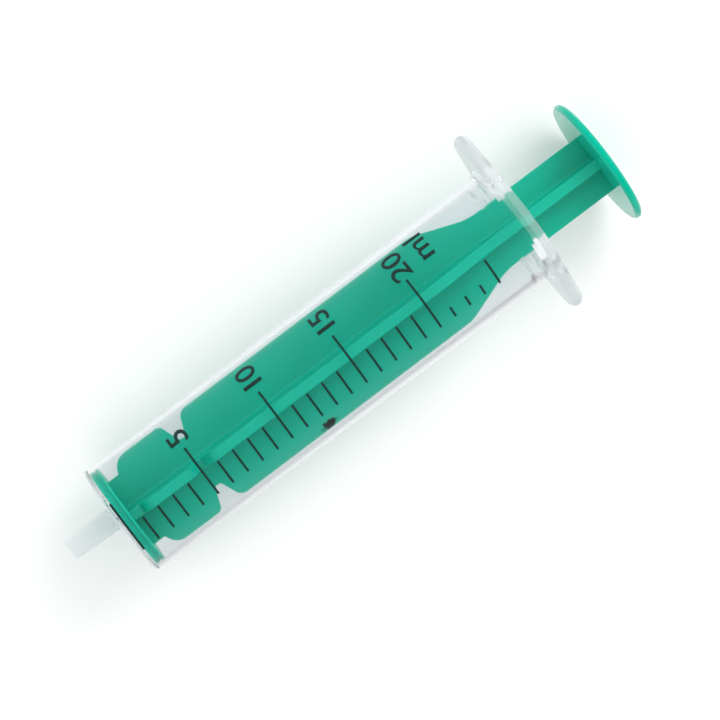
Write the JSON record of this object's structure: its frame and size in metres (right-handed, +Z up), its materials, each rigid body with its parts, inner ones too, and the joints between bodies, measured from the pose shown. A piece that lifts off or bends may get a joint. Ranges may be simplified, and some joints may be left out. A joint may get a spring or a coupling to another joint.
{
  "type": "disposable syringe",
  "caption": "Disposable syringe with a clear graduated barrel, an offset slip nozzle, finger wings, and a green ribbed plunger that slides in the bore and is pushed by a thumb disc.",
  "frame": {"origin": "under the middle of the syringe, on the plane that carries the flange's lower flat", "axes": "+X along the barrel towards the nozzle, +Y across the finger wings, +Z up through the scale"},
  "size_m": [0.1164, 0.037, 0.025],
  "materials": {
    "clear_polypropylene": "glossy, see-through with a faint milky haze",
    "green_polyethylene": "semi-gloss, slightly translucent",
    "scale_ink": "printed ink"
  },
  "bodies": {
    "barrel": {"barrel": "clear_polypropylene", "scale_print": "scale_ink"},
    "plunger": {"plunger": "green_polyethylene"}
  },
  "joints": [
    {"name": "plunger_slide", "type": "slide", "parent": "barrel", "child": "plunger", "axis": [-1, 0, 0], "range_m": [0, 0.0805]}
  ]
}
